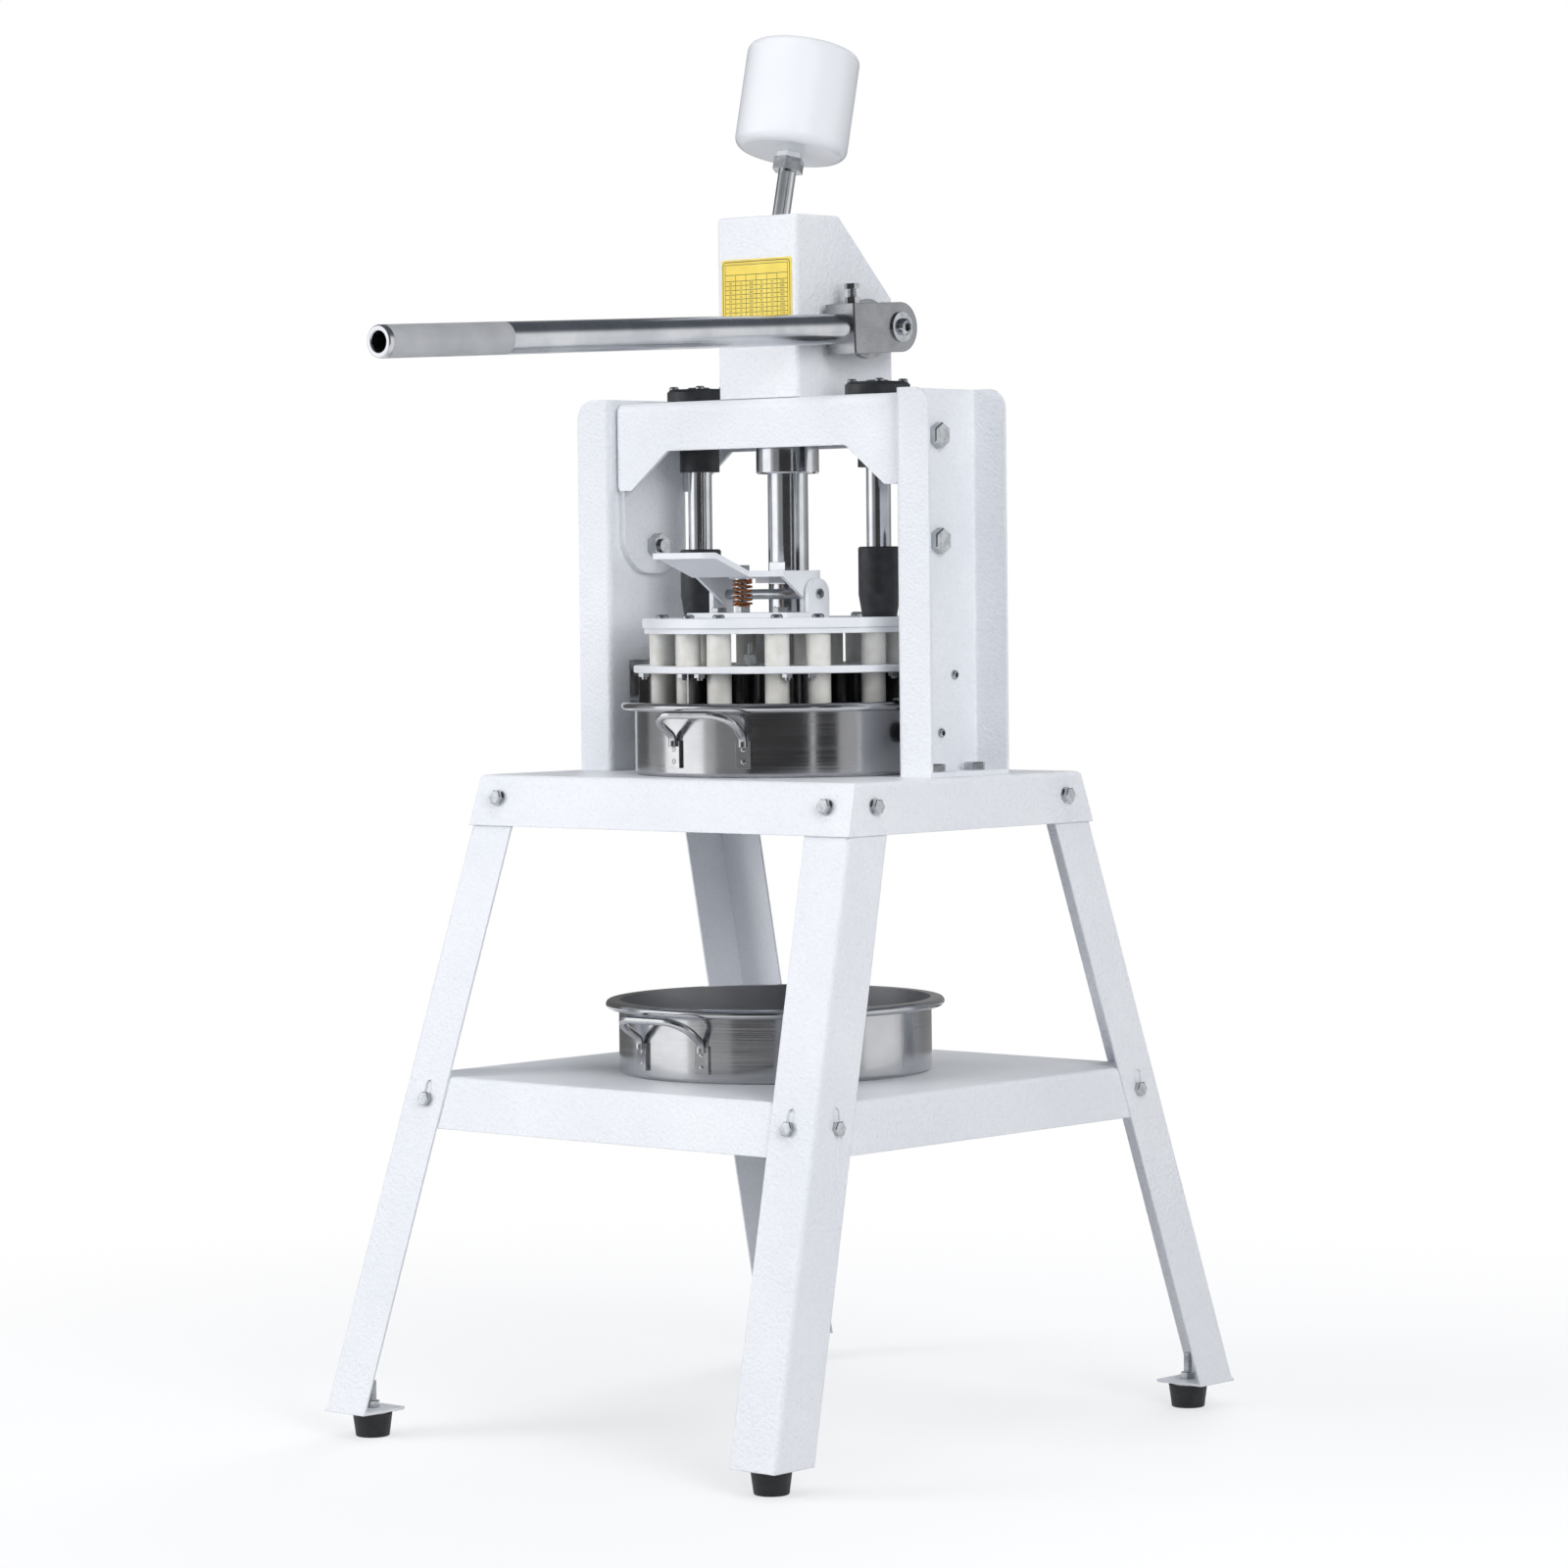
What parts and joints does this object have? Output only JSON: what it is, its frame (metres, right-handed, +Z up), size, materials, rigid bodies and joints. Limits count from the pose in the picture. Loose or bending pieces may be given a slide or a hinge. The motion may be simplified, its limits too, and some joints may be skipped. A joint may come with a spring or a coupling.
{
  "type": "manual dough divider",
  "caption": "Hand-operated dough divider on a splayed four-leg stand, with lever, counterweight, toothed ram, knife set, latched pushers and round pans.",
  "frame": {"origin": "on the floor under the middle of the stand", "axes": "+Z up, -Y towards the front where the lever and the handles point, +X towards the lever side"},
  "size_m": [0.5908, 0.9714, 1.3863],
  "materials": {
    "white_powder_coat": "fine textured powder coat",
    "zinc_steel": "bright zinc plate",
    "chromed_steel": "ground and chromed",
    "stainless_steel": "bright rolled",
    "machined_steel": "machined",
    "black_nylon": "turned",
    "black_rubber": "moulded",
    "natural_nylon": "turned",
    "copper_plated_spring": "plated wire",
    "yellow_plate": "printed sheet"
  },
  "bodies": {
    "stand": {"bearing_plates": "machined_steel", "bush_screws": "zinc_steel", "chart_plate": "yellow_plate", "crosshead": "white_powder_coat", "crosshead_bolts": "zinc_steel", "foot_pads": "black_rubber", "foot_studs": "zinc_steel", "gear_cover": "white_powder_coat", "hold_down_screws": "zinc_steel", "left_hold_down": "stainless_steel", "left_rod_bush": "black_nylon", "left_upright": "white_powder_coat", "leg_front_left": "white_powder_coat", "leg_front_right": "white_powder_coat", "leg_rear_left": "white_powder_coat", "leg_rear_right": "white_powder_coat", "pan_buffers": "black_rubber", "ram_bush": "chromed_steel", "right_hold_down": "stainless_steel", "right_rod_bush": "black_nylon", "right_upright": "white_powder_coat", "shaft_bearings": "machined_steel", "shelf": "white_powder_coat", "stand_bolts": "zinc_steel", "table_top": "white_powder_coat", "upright_bolts": "zinc_steel"},
    "lever": {"lever_shaft": "chromed_steel", "pinion": "machined_steel", "lever_bracket": "chromed_steel", "lever_socket": "chromed_steel", "lever_tube": "chromed_steel", "lever_lock_bolt": "zinc_steel", "shaft_end_screws": "zinc_steel", "weight_hub": "chromed_steel", "weight_rod": "chromed_steel", "weight_nut": "zinc_steel", "counterweight": "white_powder_coat"},
    "ram": {"ram": "chromed_steel", "knife_plate": "white_powder_coat", "knives": "stainless_steel", "knife_bolts": "zinc_steel", "stop_stud": "zinc_steel"},
    "pusher": {"upper_disc": "white_powder_coat", "lower_disc": "white_powder_coat", "pusher_columns": "natural_nylon", "pushers": "natural_nylon", "left_guide_rod": "chromed_steel", "right_guide_rod": "chromed_steel", "rod_sleeves": "black_nylon", "latch_bracket": "white_powder_coat", "latch_pin": "zinc_steel", "disc_screws": "zinc_steel", "spring_bolt": "zinc_steel", "latch_spring": "copper_plated_spring"},
    "latch": {"latch_pedal": "white_powder_coat"},
    "upper_pan": {"upper_pan": "stainless_steel", "upper_pan_handle": "stainless_steel"},
    "lower_pan": {"lower_pan": "stainless_steel", "lower_pan_handle": "stainless_steel"}
  },
  "joints": [
    {"name": "lever_swing", "type": "hinge", "parent": "stand", "child": "lever", "pos_m": [0, 0.076, 1.085], "axis": [-1, 0, 0], "range_deg": [-16.3, 87.3]},
    {"name": "ram_slide", "type": "slide", "parent": "stand", "child": "ram", "axis": [0, 0, 1], "range_m": [-0.012, 0.064]},
    {"name": "pusher_slide", "type": "slide", "parent": "ram", "child": "pusher", "axis": [0, 0, 1], "range_m": [0, 0.012]},
    {"name": "latch_press", "type": "hinge", "parent": "pusher", "child": "latch", "pos_m": [0, -0.012, 0.823], "axis": [1, 0, 0], "range_deg": [0, 12], "stiffness_Nm_per_rad": 4.5, "springref_deg": -14.32, "deforming": ["latch_spring"]},
    {"name": "upper_pan_turn", "type": "hinge", "parent": "stand", "child": "upper_pan", "pos_m": [0, 0.018, 0.646], "axis": [0, 0, 1], "range_deg": [-55, 35]},
    {"name": "lower_pan_slide", "type": "slide", "parent": "stand", "child": "lower_pan", "axis": [0, -1, 0], "range_m": [0, 0.2]}
  ],
  "couplings": [
    {"joint": "ram_slide", "follows": "lever_swing", "m_per_rad": 0.042}
  ]
}
